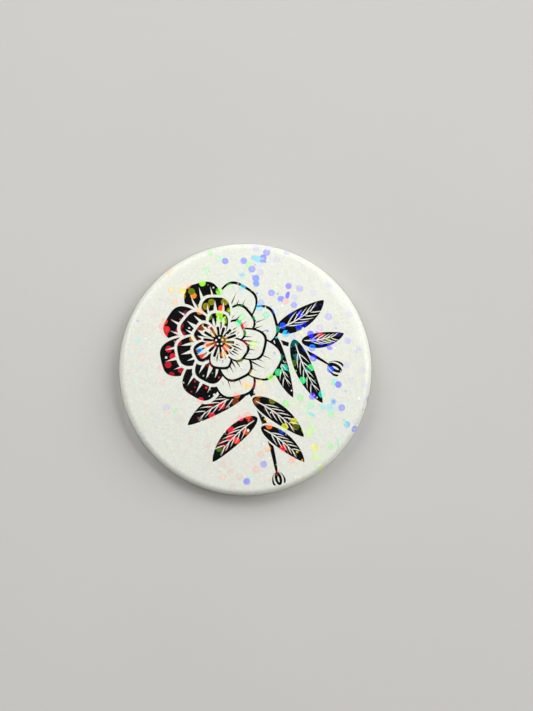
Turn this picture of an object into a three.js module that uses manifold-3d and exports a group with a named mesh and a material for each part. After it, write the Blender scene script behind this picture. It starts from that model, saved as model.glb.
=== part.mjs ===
// A 38 mm (1.5 inch) pin-back button badge: a domed tinplate shell faced with a printed paper
// disc, a holographic film and a clear film, closed by a pressed tinplate back that holds a
// spring-wire pin. Millimetres, +Z up. The badge lies face up, the origin is the centre of the
// plane it rests on, and the pin runs along X with its point at +X.

import * as THREE from 'three';
import { mergeVertices } from 'three/addons/utils/BufferGeometryUtils.js';
import Module from 'manifold-3d';

const wasm = await Module();
wasm.setup();

// ---------------------------------------------------------------- driving dimensions

const DIAMETER = 38;        // over the clear film
const HEIGHT = 4.8;         // from the rest plane to the middle of the face

// Facets: round every turned piece, round the wire, along each rounded stretch of a section, and
// along the wire.
const SIDES = 40;
const WIRE_SIDES = 10;
const STEPS = { dome: 2, roll: 4, curl: 5, bead: 2, hook: 3, trough: 6 };
const WIRE_STEPS = { straight: 12, bend: 8, leg: 26, arm: 36 };

// Sheet thicknesses, and the bond line left between two layers.
const TINPLATE = 0.3;
const PAPER = 0.12;
const HOLOGRAPHIC = 0.08;
const CLEAR = 0.1;
const BOND = 0.03;
const FACING = PAPER + HOLOGRAPHIC + CLEAR + 3 * BOND;

// The shell's section, measured on the clear film outside it.
const FACE_SLOPE = THREE.MathUtils.degToRad(5.8);   // of the dome where it meets the edge roll
const EDGE_ROLL = 1.25;     // radius between face and side
const CURL = 0.95;          // radius of the curl that closes round the back
const CURL_LIFT = 0.1;      // the curl's height above the rest plane
const LIP_TOP = 1.35;       // where the curled-in edge of every layer ends

// The back plate's section, on the middle of its sheet.
const FLOOR_Z = 1.95;
const FLOOR_RADIUS = 15.3;
const BEAD_INNER = 15.75;
const BEAD_OUTER = 16.9;
const BEAD_ROUND = 0.35;
const FLANGE_Z = 1.65;
const FLANGE_RADIUS = 18.15;
const GROOVE = { inner: 13.4, outer: 14.5, depth: 0.2, flank: 0.35 };

// The pin: a hairpin of spring wire, its lower leg held to the plate, its upper leg the arm.
const WIRE_RADIUS = 0.4;
const ARM = { y: 3.5, z: 0.95, shank: 10.2, point: 12.8 };
const LEG = { y: -1.5, z: 1.38, end: 3.2 };
const BEND_X = -9;          // where both legs run into the bend
const BEND_RADIUS = (ARM.y - LEG.y) / 2;
const BEND_GAP = 0.3;       // between the two wire pieces, at the middle of the bend
const POINT_RADIUS = 0.05;
const POINT_LAP = 0.02;     // how far the point's cone starts inside the shank

// What is pressed out of the plate for the pin.
const BRIDGES = [-6.6, 0.6];    // the x of each bridge over the lower leg
const BRIDGE = { width: 1.8, top: 0.65, foot: 1.7, shoulder: 0.25 };
const CATCH = {
  x: 9,
  width: 2.2,
  riser: -0.72,             // from the arm's axis to the riser, along Y
  root: 0.6,                // of the strip that the riser is bent down from
  knee: 0.25,               // height of the slanted knee between root and riser
  hook: 0.3,                // radius of the bend between riser and lip
  lip: -0.17,               // from the arm's axis to the lip's free edge, along Y
  gap: 0.1,                 // between the lip and the arm
  slot: 2.6,                // how far the cut in the floor runs past the riser
};
const TROUGH = { x: -0.6, length: 12.4, width: 3.6, depth: 0.6 };   // room for cloth under the arm
const LAP = 0.3;            // how far a pressed strip runs into the floor that it belongs to
const CUT_REACH = 1;        // how far a cut reaches above and below the floor's sheet
const SAME_POINT = 1e-4;    // vertices nearer than this are one

// ---------------------------------------------------------------- sections and solids

const at = (x, y) => new THREE.Vector2(x, y);

// Points on an arc, angles in radians, both ends included.
function arc(cx, cy, radius, from, to, steps) {
  return Array.from({ length: steps + 1 }, (_, i) => {
    const angle = from + ((to - from) * i) / steps;
    return at(cx + radius * Math.cos(angle), cy + radius * Math.sin(angle));
  });
}

// A path moved sideways, to its left as it runs, by a distance, with mitred corners.
function offset(path, distance) {
  const left = (a, b) => at(a.y - b.y, b.x - a.x).normalize();
  return path.map((point, i) => {
    const before = left(path[Math.max(i - 1, 0)], path[Math.max(i, 1)]);
    const last = path.length - 1;
    const after = left(path[Math.min(i, last - 1)], path[Math.min(i + 1, last)]);
    const mitre = before.clone().add(after).normalize();
    const moved = point.clone().addScaledVector(mitre, distance / mitre.dot(before));
    return point.x === 0 ? at(0, moved.y) : moved;
  });
}

// The closed section of a sheet that follows a path, between two offsets from it.
function sheet(path, near, far) {
  return [...offset(path, far), ...offset(path, near).reverse()];
}

// A section in the plane of radius and height, turned round Z.
function turned(section) {
  const closed = section[0].x === 0 ? section : [...section, section[0]];
  return new THREE.LatheGeometry(closed.slice().reverse(), SIDES).rotateX(Math.PI / 2);
}

// An outline in the plane of Y and Z, pushed along X from one place to another.
function pushedAlongX(outline, from, to) {
  const shape = new THREE.Shape(outline);
  const axes = new THREE.Matrix4().makeBasis(
    new THREE.Vector3(0, 1, 0),
    new THREE.Vector3(0, 0, 1),
    new THREE.Vector3(1, 0, 0),
  );
  return new THREE.ExtrudeGeometry(shape, { depth: to - from, bevelEnabled: false })
    .applyMatrix4(axes)
    .translate(from, 0, 0);
}

// A round wire along a curve.
function wire(curve, steps) {
  const section = new THREE.Shape(arc(0, 0, WIRE_RADIUS, 0, 2 * Math.PI, WIRE_SIDES).slice(0, -1));
  return new THREE.ExtrudeGeometry(section, { steps, extrudePath: curve, bevelEnabled: false });
}

function solidOf(geometry) {
  const bare = geometry.clone();
  bare.deleteAttribute('normal');
  bare.deleteAttribute('uv');
  const merged = mergeVertices(bare, SAME_POINT);
  const mesh = new wasm.Mesh({
    numProp: 3,
    vertProperties: merged.attributes.position.array,
    triVerts: new Uint32Array(merged.index.array),
  });
  return new wasm.Manifold(mesh);
}

function geometryOf(solid) {
  const mesh = solid.getMesh();
  const geometry = new THREE.BufferGeometry();
  geometry.setAttribute('position', new THREE.BufferAttribute(mesh.vertProperties, 3));
  geometry.setIndex(new THREE.BufferAttribute(mesh.triVerts, 1));
  geometry.computeVertexNormals();
  return geometry;
}

// ---------------------------------------------------------------- the layers of the front

// The outside of the bare shell, from the middle of the face, over the edge and round the curl
// to the end of its lip. Its left side is the outside, so the facing layers are offsets of it.
function shellPath() {
  const roll = EDGE_ROLL - FACING;
  const curl = CURL - FACING;
  const side = DIAMETER / 2 - FACING;
  const rollX = side - roll;
  const domeRadius = roll + rollX / Math.sin(FACE_SLOPE);
  const domeZ = HEIGHT - FACING - domeRadius;
  const rollZ = domeZ + (domeRadius - roll) * Math.cos(FACE_SLOPE);
  const slopeEnd = Math.PI / 2 - FACE_SLOPE;
  const dome = arc(0, domeZ, domeRadius, Math.PI / 2, slopeEnd, STEPS.dome);
  dome[0].x = 0;
  return [
    ...dome,
    ...arc(rollX, rollZ, roll, slopeEnd, 0, STEPS.roll).slice(1),
    ...arc(side - curl, CURL + CURL_LIFT, curl, 0, -Math.PI, STEPS.curl),
    at(side - 2 * curl, LIP_TOP),
  ];
}

const shell = shellPath();
const frontShell = turned(sheet(shell, -TINPLATE, 0));
const printedPaper = turned(sheet(shell, BOND, BOND + PAPER));
const holographicFilm = turned(
  sheet(shell, 2 * BOND + PAPER, 2 * BOND + PAPER + HOLOGRAPHIC),
);
const clearFilm = turned(sheet(shell, FACING - CLEAR, FACING));

// ---------------------------------------------------------------- the back plate

// The plate's sheet: a floor with a stiffening groove, a bead that the badge rests on, and a
// flange that spreads over the lip of the shell and locks it.
function platePath() {
  const grooveTop = FLOOR_Z + GROOVE.depth;
  const beadLow = TINPLATE / 2 + BEAD_ROUND;
  return [
    at(0, FLOOR_Z),
    at(GROOVE.inner, FLOOR_Z),
    at(GROOVE.inner + GROOVE.flank, grooveTop),
    at(GROOVE.outer - GROOVE.flank, grooveTop),
    at(GROOVE.outer, FLOOR_Z),
    at(FLOOR_RADIUS, FLOOR_Z),
    ...arc(BEAD_INNER + BEAD_ROUND, beadLow, BEAD_ROUND, Math.PI, 1.5 * Math.PI, STEPS.bead),
    ...arc(BEAD_OUTER - BEAD_ROUND, beadLow, BEAD_ROUND, -Math.PI / 2, 0, STEPS.bead),
    at(BEAD_OUTER, FLANGE_Z),
    at(FLANGE_RADIUS, FLANGE_Z),
  ];
}

// A strip raised over the lower leg of the pin, cut free of the floor along both its sides.
function bridgePath() {
  const flat = WIRE_RADIUS + BRIDGE.shoulder;
  const topZ = BRIDGE.top + TINPLATE / 2;
  return [
    at(LEG.y - BRIDGE.foot - LAP, FLOOR_Z),
    at(LEG.y - BRIDGE.foot, FLOOR_Z),
    at(LEG.y - flat, topZ),
    at(LEG.y + flat, topZ),
    at(LEG.y + BRIDGE.foot, FLOOR_Z),
    at(LEG.y + BRIDGE.foot + LAP, FLOOR_Z),
  ];
}

// The hook that holds the arm: a riser beside the arm and a lip over it, open towards +Y.
function catchPath() {
  const riserY = ARM.y + CATCH.riser;
  const lipZ = ARM.z - WIRE_RADIUS - CATCH.gap - TINPLATE / 2;
  return [
    at(riserY - CATCH.root, FLOOR_Z),
    at(riserY, FLOOR_Z - CATCH.knee),
    ...arc(riserY + CATCH.hook, lipZ + CATCH.hook, CATCH.hook, Math.PI, 1.5 * Math.PI, STEPS.hook),
    at(ARM.y + CATCH.lip, lipZ),
  ];
}

function pressedStrip(path, x, width) {
  const half = TINPLATE / 2;
  return solidOf(pushedAlongX(sheet(path, -half, half).reverse(), x - width / 2, x + width / 2));
}

// A straight cut through the floor, over a span of X and a span of Y.
function floorCut(x0, x1, y0, y1) {
  const [low, high] = [FLOOR_Z - CUT_REACH, FLOOR_Z + CUT_REACH];
  const outline = [at(y0, low), at(y1, low), at(y1, high), at(y0, high)];
  return solidOf(pushedAlongX(outline, x0, x1));
}

// The trough's shape, long with round ends, made smaller all round by an inset.
function troughBlock(inset, bottom, top) {
  const round = TROUGH.width / 2 - inset;
  const reach = (TROUGH.length - TROUGH.width) / 2;
  const outline = [
    ...arc(TROUGH.x + reach, ARM.y, round, -Math.PI / 2, Math.PI / 2, STEPS.trough),
    ...arc(TROUGH.x - reach, ARM.y, round, Math.PI / 2, 1.5 * Math.PI, STEPS.trough),
  ];
  const options = { depth: top - bottom, bevelEnabled: false };
  return solidOf(new THREE.ExtrudeGeometry(new THREE.Shape(outline), options).translate(0, 0, bottom));
}

function backPlate() {
  const half = TINPLATE / 2;
  const troughTop = FLOOR_Z + TROUGH.depth;
  let plate = solidOf(turned(sheet(platePath(), -half, half)))
    .add(troughBlock(0, FLOOR_Z, troughTop + half))
    .subtract(troughBlock(TINPLATE, FLOOR_Z - CUT_REACH, troughTop - half));
  for (const x of BRIDGES) {
    const [left, right] = [x - BRIDGE.width / 2, x + BRIDGE.width / 2];
    plate = plate
      .subtract(floorCut(left, right, LEG.y - BRIDGE.foot, LEG.y + BRIDGE.foot))
      .add(pressedStrip(bridgePath(), x, BRIDGE.width));
  }
  const [left, right] = [CATCH.x - CATCH.width / 2, CATCH.x + CATCH.width / 2];
  const riserY = ARM.y + CATCH.riser;
  return plate
    .subtract(floorCut(left, right, riserY - LAP, riserY + CATCH.slot))
    .add(pressedStrip(catchPath(), CATCH.x, CATCH.width));
}

// ---------------------------------------------------------------- the pin

// A point on the bend that joins the two legs, at an angle from +X about the bend's centre.
function onBend(angle) {
  const share = (1 + Math.sin(angle)) / 2;
  return new THREE.Vector3(
    BEND_X + BEND_RADIUS * Math.cos(angle),
    (ARM.y + LEG.y) / 2 + BEND_RADIUS * Math.sin(angle),
    THREE.MathUtils.lerp(LEG.z, ARM.z, share),
  );
}

// A straight stretch of wire and its half of the bend.
function halfPin(straightEnd, fromAngle, toAngle) {
  const { straight, bend } = WIRE_STEPS;
  const points = [];
  for (let i = 0; i < straight; i++) {
    const x = THREE.MathUtils.lerp(straightEnd.x, BEND_X, i / straight);
    points.push(straightEnd.clone().setX(x));
  }
  for (let i = 0; i <= bend; i++) {
    points.push(onBend(THREE.MathUtils.lerp(fromAngle, toAngle, i / bend)));
  }
  return new THREE.CatmullRomCurve3(points);
}

const gapAngle = BEND_GAP / 2 / BEND_RADIUS;
const legCurve = halfPin(
  new THREE.Vector3(LEG.end, LEG.y, LEG.z),
  1.5 * Math.PI,
  Math.PI + gapAngle,
);
const pinLeg = wire(legCurve, WIRE_STEPS.leg);

// The arm ends in a ground point.
function pinArm() {
  const shankEnd = new THREE.Vector3(ARM.shank, ARM.y, ARM.z);
  const armCurve = halfPin(shankEnd, 0.5 * Math.PI, Math.PI - gapAngle);
  const shank = solidOf(wire(armCurve, WIRE_STEPS.arm));
  const length = ARM.point - ARM.shank;
  const point = new THREE.CylinderGeometry(POINT_RADIUS, WIRE_RADIUS - POINT_LAP, length, WIRE_SIDES)
    .rotateZ(-Math.PI / 2)
    .translate(ARM.shank + length / 2 - POINT_LAP, ARM.y, ARM.z);
  return shank.add(solidOf(point));
}

// ---------------------------------------------------------------- the badge

const tinplate = { color: 0xc9cbcc, metalness: 1, roughness: 0.32 };
const finishes = {
  front_shell: tinplate,
  printed_paper: { color: 0xf1f0ea, metalness: 0, roughness: 0.7 },
  holographic_film: { color: 0xe4e6f2, metalness: 0.2, roughness: 0.25, transparent: true, opacity: 0.4 },
  clear_film: { color: 0xffffff, metalness: 0, roughness: 0.06, transparent: true, opacity: 0.2 },
  back_plate: tinplate,
  pin_leg: { color: 0xb6b8ba, metalness: 1, roughness: 0.22 },
  pin_arm: { color: 0xb6b8ba, metalness: 1, roughness: 0.22 },
};
const geometries = {
  front_shell: frontShell,
  printed_paper: printedPaper,
  holographic_film: holographicFilm,
  clear_film: clearFilm,
  back_plate: geometryOf(backPlate()),
  pin_leg: pinLeg,
  pin_arm: geometryOf(pinArm()),
};

const badge = new THREE.Group();
badge.name = 'pin_back_badge';
for (const [name, geometry] of Object.entries(geometries)) {
  const mesh = new THREE.Mesh(geometry, new THREE.MeshStandardMaterial(finishes[name]));
  mesh.name = name;
  badge.add(mesh);
}

export default badge;
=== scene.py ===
import math

import bmesh
import bpy
import numpy as np
from mathutils import Matrix, Vector
from mathutils.geometry import delaunay_2d_cdt


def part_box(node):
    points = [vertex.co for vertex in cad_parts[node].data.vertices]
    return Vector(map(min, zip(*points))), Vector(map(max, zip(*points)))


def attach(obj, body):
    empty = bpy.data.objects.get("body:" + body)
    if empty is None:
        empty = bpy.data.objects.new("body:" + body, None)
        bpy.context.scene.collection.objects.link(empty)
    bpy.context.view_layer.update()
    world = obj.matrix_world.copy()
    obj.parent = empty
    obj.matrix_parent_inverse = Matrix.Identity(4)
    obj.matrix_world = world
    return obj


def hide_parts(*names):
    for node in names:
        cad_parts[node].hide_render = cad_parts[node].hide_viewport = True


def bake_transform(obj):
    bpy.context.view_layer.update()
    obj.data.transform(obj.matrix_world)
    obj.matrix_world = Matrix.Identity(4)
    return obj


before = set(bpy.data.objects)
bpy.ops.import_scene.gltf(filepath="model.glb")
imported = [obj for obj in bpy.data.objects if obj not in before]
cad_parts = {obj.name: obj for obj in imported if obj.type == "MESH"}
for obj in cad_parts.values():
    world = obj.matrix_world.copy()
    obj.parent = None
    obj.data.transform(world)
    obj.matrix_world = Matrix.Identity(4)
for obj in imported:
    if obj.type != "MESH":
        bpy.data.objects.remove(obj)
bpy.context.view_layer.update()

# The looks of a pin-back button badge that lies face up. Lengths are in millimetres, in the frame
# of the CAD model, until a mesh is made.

MM = 0.001
scene = bpy.context.scene


def corners(node):
    """The lowest and highest corner of a CAD node, in millimetres."""
    return np.array(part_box(node)) / MM


# -------- sizes

FILM_LOW, FILM_HIGH = corners("clear_film")
PLATE_HIGH = corners("back_plate")[1]

RADIUS = FILM_HIGH[0]
HEIGHT = FILM_HIGH[2]
CURL_LIFT = FILM_LOW[2]

# The section of the front, on the clear film.
FACE_SLOPE = math.radians(5.8)
EDGE_ROLL = 1.25
CURL = 0.95
LIP_TOP = 1.35
DOME_STEPS, ROLL_STEPS, CURL_STEPS = 14, 18, 24
CURL_INDEX = DOME_STEPS + ROLL_STEPS + 1

# How deep each layer's two sides lie under the clear film's surface.
CLEAR_FILM = (0.0, 0.05)
HOLOGRAPHIC_FILM = (0.058, 0.098)
DOTS_DEPTH = 0.103
DOTS_THICKNESS = 0.004
INK_DEPTH = 0.112
INK_THICKNESS = 0.006
PAPER = (0.12, 0.24)
SHELL = (0.39, 0.69)

TINPLATE = 0.3
FLOOR_Z = 1.95  # the middle of the back plate's sheet
FLANGE_RADIUS = PLATE_HIGH[0]

# The pin's wire, the height and place of its two legs, and its hairpin bend.
WIRE_RADIUS = 0.4
ARM_Y, ARM_Z = 3.5, 0.95
LEG_Y, LEG_Z = -1.5, 1.38
BEND_RADIUS = (ARM_Y - LEG_Y) / 2
BEND_Y = (ARM_Y + LEG_Y) / 2
BEND_X = -9.0


# -------- sections

def arc(centre, radius, start, end, steps):
    """Points on an arc and their directions from its centre."""
    angles = np.linspace(start, end, steps + 1)
    out = np.stack([np.cos(angles), np.sin(angles)], 1)
    return np.array(centre) + radius * out, out


def full_turn(steps):
    """Evenly spaced angles once round."""
    return np.linspace(0, 2 * math.pi, steps, endpoint=False)


def along(path):
    """Distances along a path."""
    steps = np.linalg.norm(np.diff(path, axis=0), axis=1)
    return np.concatenate([[0], np.cumsum(steps)])


def front_section():
    """The clear film's outline from the middle of the face to its lip: points, outward normals,
    and distances along it."""
    roll_x = RADIUS - EDGE_ROLL
    dome_radius = EDGE_ROLL + roll_x / math.sin(FACE_SLOPE)
    dome_z = HEIGHT - dome_radius
    roll_z = dome_z + (dome_radius - EDGE_ROLL) * math.cos(FACE_SLOPE)
    slope = math.pi / 2 - FACE_SLOPE
    arcs = [
        arc((0, dome_z), dome_radius, math.pi / 2, slope, DOME_STEPS),
        arc((roll_x, roll_z), EDGE_ROLL, slope, 0, ROLL_STEPS),
        arc((RADIUS - CURL, CURL_LIFT + CURL), CURL, 0, -math.pi, CURL_STEPS),
    ]
    points = np.concatenate([arcs[0][0], arcs[1][0][1:], arcs[2][0], [[RADIUS - 2 * CURL, LIP_TOP]]])
    normals = np.concatenate([arcs[0][1], arcs[1][1][1:], arcs[2][1], [[-1, 0]]])
    points[0] = (0, HEIGHT)
    normals[0] = (0, 1)
    return points, normals, along(points)


FRONT, FRONT_OUT, FRONT_ALONG = front_section()


def rounded(corners_and_radii, spacing=0.07):
    """A path through corners, each given as (x, z, radius) and rounded by that radius."""
    stops = [np.array(c[:2], float) for c in corners_and_radii]
    path = [stops[0]]
    for i in range(1, len(stops) - 1):
        radius = corners_and_radii[i][2]
        back = stops[i - 1] - stops[i]
        ahead = stops[i + 1] - stops[i]
        back /= np.linalg.norm(back)
        ahead /= np.linalg.norm(ahead)
        half = math.acos(np.clip(back @ ahead, -1, 1)) / 2
        reach = radius / math.tan(half)
        centre = stops[i] + (back + ahead) / np.linalg.norm(back + ahead) * radius / math.sin(half)
        first = stops[i] + back * reach - centre
        last = stops[i] + ahead * reach - centre
        turn = math.pi - 2 * half
        steps = max(2, math.ceil(turn * radius / spacing))
        for share in np.linspace(0, 1, steps + 1):
            weights = np.sin((1 - share) * turn), np.sin(share * turn)
            path.append(centre + (first * weights[0] + last * weights[1]) / math.sin(turn))
    path.append(stops[-1])
    return np.array(path)


def smooth(share):
    """A share from 0 to 1, eased in and out."""
    share = np.clip(share, 0, 1)
    return share * share * (3 - 2 * share)


# -------- meshes

def closed_skin(rings, first_pole, last_pole):
    """The points and faces of a closed skin over rings of points, with a pole at each end."""
    count, sides = rings.shape[:2]
    index = np.arange(count * sides).reshape(count, sides)
    after = np.roll(index, -1, axis=1)
    quads = np.stack([index[:-1], index[1:], after[1:], after[:-1]], -1).reshape(-1, 4)
    first, last = count * sides, count * sides + 1
    faces = quads.tolist()
    faces += [[first, a, b] for a, b in zip(index[0], after[0])]
    faces += [[last, b, a] for a, b in zip(index[-1], after[-1])]
    return np.concatenate([rings.reshape(-1, 3), [first_pole, last_pole]]), faces


def place_mesh(name, mesh, material):
    """An object for a mesh, in the scene."""
    mesh.materials.append(material)
    piece = bpy.data.objects.new(name, mesh)
    scene.collection.objects.link(piece)
    return piece


def make_piece(name, points, faces, material, sharp=math.radians(40)):
    """A mesh object from points in millimetres, smooth except at edges sharper than an angle."""
    mesh = bpy.data.meshes.new(name)
    mesh.from_pydata((np.asarray(points) * MM).tolist(), [], faces)
    smooth_edges(mesh, sharp)
    return place_mesh(name, mesh, material)


def smooth_edges(mesh, sharp):
    """Turns every face outwards and smooths it, except at edges sharper than an angle."""
    shape = bmesh.new()
    shape.from_mesh(mesh)
    bmesh.ops.recalc_face_normals(shape, faces=shape.faces)
    for face in shape.faces:
        face.smooth = True
    for edge in shape.edges:
        edge.smooth = len(edge.link_faces) == 2 and edge.calc_face_angle(0) < sharp
    shape.to_mesh(mesh)
    shape.free()


def finish_piece(piece, slot, *nodes):
    """Hides the CAD nodes that a piece stands for. Its slot is not used."""
    if nodes:
        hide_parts(*nodes)
    return piece


# -------- the layers of the front

TURN_STEPS = 600
CREASE_SEED = 11
CREASES = 70
CREASES_FROM = CURL_INDEX + 4  # the first point of the section where a crease may begin
CREASE_SPREAD = 0.7  # how much farther along the curl one may begin
CREASE_WIDTHS = (1.0, 2.6)  # in degrees round the badge
CREASE_HEIGHT = 0.09
CREASE_RISE = 1.3  # the distance along the curl over which a crease rises
FOLD = 0.3  # the width of a crease's steep side, as a share of its other side


def creases(distance, turn):
    """How far the paper and films stand up where their edge is gathered, at distances along the
    section and angles round the badge."""
    random = np.random.default_rng(CREASE_SEED)
    height = np.zeros(np.broadcast(distance, turn).shape)
    for i in range(CREASES):
        centre = 2 * math.pi * (i + random.uniform(-0.3, 0.3)) / CREASES
        width = math.radians(random.uniform(*CREASE_WIDTHS))
        start = FRONT_ALONG[CREASES_FROM] + random.uniform(0, CREASE_SPREAD)
        size = CREASE_HEIGHT * random.uniform(0.35, 1)
        away = (turn - centre + math.pi) % (2 * math.pi) - math.pi
        ridge = np.exp(-((away / np.where(away < 0, FOLD * width, width)) ** 2))
        height = np.maximum(height, size * smooth((distance - start) / CREASE_RISE) * ridge)
    return height


def layer(name, depths, material, gathered=True):
    """One layer of the front: a closed sheet between two depths under the clear film's surface."""
    turns = full_turn(TURN_STEPS)
    lift = creases(FRONT_ALONG[:, None], turns) if gathered else np.zeros((len(FRONT), TURN_STEPS))
    rings = []
    for depth in depths:
        sunk = depth - lift
        r = FRONT[:, :1] - FRONT_OUT[:, :1] * sunk
        z = FRONT[:, 1:] - FRONT_OUT[:, 1:] * sunk
        rings.append(np.stack([r * np.cos(turns), r * np.sin(turns), z], -1)[1:])
    poles = [(0, 0, HEIGHT - depth) for depth in depths]
    points, faces = closed_skin(np.concatenate([rings[0], rings[1][::-1]]), *poles)
    return make_piece(name, points, faces, material)


def wrap(flat, depth):
    """Where flat points of the print lie on the badge, and the directions out of it there."""
    distance = np.hypot(flat[:, 0], flat[:, 1])
    turn = np.arctan2(flat[:, 1], flat[:, 0])
    r, z, out_r, out_z = (
        np.interp(distance, FRONT_ALONG, column)
        for column in (FRONT[:, 0], FRONT[:, 1], FRONT_OUT[:, 0], FRONT_OUT[:, 1])
    )
    length = np.hypot(out_r, out_z)
    out_r, out_z = out_r / length, out_z / length
    depth = depth - creases(distance, turn)
    r, z = r - out_r * depth, z - out_z * depth
    points = np.stack([r * np.cos(turn), r * np.sin(turn), z], 1)
    out = np.stack([out_r * np.cos(turn), out_r * np.sin(turn), out_z], 1)
    return points, out


def inlay(name, flat, triangles, depth, thickness, material, colours=None):
    """A thin closed body of print or foil: triangles of the flat print, wrapped at a depth. Each
    triangle may have a colour, and each wall at the rim takes that of the triangle it borders."""
    used, triangles = np.unique(triangles, return_inverse=True)
    triangles = triangles.reshape(-1, 3)
    top, out = wrap(flat[used], depth)
    bottom = wrap(flat[used], depth + thickness)[0]
    count = len(used)
    edges = np.concatenate([triangles[:, [0, 1]], triangles[:, [1, 2]], triangles[:, [2, 0]]])
    key = edges[:, 0] * count + edges[:, 1]
    reverse = edges[:, 1] * count + edges[:, 0]
    at_rim = np.flatnonzero(~np.isin(key, reverse))
    rim = edges[at_rim]
    walls = np.stack([rim[:, 1], rim[:, 0], rim[:, 0] + count, rim[:, 1] + count], 1)
    faces = triangles.tolist() + (triangles[:, ::-1] + count).tolist() + walls.tolist()
    mesh = bpy.data.meshes.new(name)
    mesh.from_pydata((np.concatenate([top, bottom]) * MM).tolist(), [], faces)
    if colours is not None:
        tint_faces(mesh, np.concatenate([colours, colours, colours[at_rim % len(triangles)]]))
    mesh.polygons.foreach_set("use_smooth", np.ones(len(faces), bool))
    mesh.normals_split_custom_set_from_vertices(np.concatenate([out, -out]).tolist())
    return place_mesh(name, mesh, material)


def tint_faces(mesh, colours):
    """Gives each face of a mesh a colour, as the attribute tint."""
    sides = [len(face.vertices) for face in mesh.polygons]
    values = np.repeat(np.c_[colours, np.ones(len(colours))], sides, axis=0)
    tint = mesh.attributes.new("tint", "FLOAT_COLOR", "CORNER")
    tint.data.foreach_set("color", values.astype(np.float32).ravel())


# -------- the printed motif
# A flower with two sprays of leaves, in black ink. Shapes are laid over each other in order, and
# each is either ink or bare paper.

INK, BARE = True, False
PETAL = {"full": 0.66, "sharp": 0.85}
DARK_SIDE = math.radians(165)  # the direction that the flower's black petals face
DARK_REACH = -0.12  # the cosine of the angle from there at which they end
LINE = 0.26
# The bare flashes of a black petal: place across it, where each begins and ends, and its width.
FLASHES = ((-0.24, 0.42, 0.88, 0.42), (0.02, 0.34, 0.94, 0.62), (0.27, 0.46, 0.85, 0.36))
# The strokes of a bare petal: place across it, where each ends, and its width.
STROKES = (
    (-0.28, 0.74, 0.2), (-0.14, 0.84, 0.26), (0, 0.78, 0.3), (0.14, 0.88, 0.24), (0.28, 0.72, 0.2)
)
# The rings of petals from the outside in: how many, where they begin and end, their width, and
# the angle that the ring is turned by.
PETAL_RINGS = ((8, 0.6, 8.9, 5.6, 0.0), (7, 0.4, 6.3, 4.3, 0.42), (6, 0.3, 4.0, 2.9, 0.2))
STAMENS = 14
STAMEN_SPOTS = 5
LEAF = {"full": 0.42, "sharp": 1.3}
LEAF_RIM = 0.28
VEINS = (0.2, 0.32, 0.44, 0.56, 0.68)  # where a leaf's side veins leave its midrib
# Each leaf: base, tip, width and bend.
LEAVES = (
    ((0.9, -4.6), (8.5, -10.2), 2.7, 0.10),
    ((2.2, -8.8), (8.6, -13.9), 2.4, 0.10),
    ((0.2, -3.4), (-8.6, -8.5), 2.8, -0.10),
    ((1.6, -7.4), (-4.9, -13.9), 2.7, -0.12),
    ((3.8, 5.2), (6.9, -4.4), 2.4, -0.08),
    ((7.0, 4.2), (11.3, -5.2), 2.7, -0.08),
    ((4.4, 5.6), (11.6, 10.2), 3.0, -0.12),
    ((8.2, 4.0), (14.6, 5.2), 2.3, -0.12),
)


def polar(angle, radius=1.0):
    """The flat point at an angle and a distance from the middle."""
    return np.array([math.cos(angle), math.sin(angle)]) * radius


def blade(start, tip, width, bend=0.0, full=0.5, sharp=1.6, steps=26):
    """A leaf-shaped outline from start to tip. It bows by bend times its length, is widest at the
    share full of its length, and has blunter ends the smaller sharp is."""
    start, tip = np.array(start, float), np.array(tip, float)
    span = tip - start
    middle = (start + tip) / 2 + np.array([-span[1], span[0]]) * bend
    t = (1 - np.cos(np.linspace(0, math.pi, steps + 1))) / 2
    share = t[:, None]
    line = (1 - share) ** 2 * start + 2 * share * (1 - share) * middle + share**2 * tip
    slope = 2 * (1 - share) * (middle - start) + 2 * share * (tip - middle)
    side = np.stack([-slope[:, 1], slope[:, 0]], 1)
    side /= np.linalg.norm(side, axis=1)[:, None]
    rise, fall = sharp * full, sharp * (1 - full)
    half = width / 2 * t**rise * (1 - t) ** fall / (full**rise * (1 - full) ** fall)
    offset = side * half[:, None]
    return np.concatenate([line + offset, (line - offset)[::-1][1:-1]])


def round_spot(centre, radius, steps=28):
    """A circle's points."""
    turns = full_turn(steps)
    return np.array(centre) + radius * np.stack([np.cos(turns), np.sin(turns)], 1)


def axes(base, tip):
    """The way from base to tip, its direction, and the direction to its left."""
    span = tip - base
    out = span / np.linalg.norm(span)
    return span, out, np.array([-out[1], out[0]])


def dark_petal(base, tip, width, bend):
    """A black petal in a bare rim, with three bare flashes."""
    span, out, side = axes(base, tip)
    rim = blade(base - out * LINE, tip + out * LINE * 1.6, width + 3 * LINE, bend, **PETAL)
    shapes = [(BARE, rim), (INK, blade(base, tip, width, bend, **PETAL))]
    for shift, begin, end, thick in FLASHES:
        start = base + span * begin + side * width * shift * 0.7
        stop = base + span * end + side * width * shift * 1.1
        shapes.append((BARE, blade(start, stop, thick, bend + shift * 0.3, 0.4, 2.2)))
    return shapes


def light_petal(base, tip, width, bend):
    """A bare petal in a black outline, with fine strokes up from its base."""
    span, out, side = axes(base, tip)
    outline = blade(base - out * LINE, tip + out * LINE * 1.5, width + 2 * LINE, bend, **PETAL)
    shapes = [(INK, outline), (BARE, blade(base, tip, width, bend, **PETAL))]
    for shift, end, thick in STROKES:
        start = base + span * 0.3 + side * width * shift * 0.65
        stop = base + span * end + side * width * shift * 1.05
        shapes.append((INK, blade(start, stop, thick, shift * 0.25, 0.3, 1.5)))
    return shapes


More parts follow.
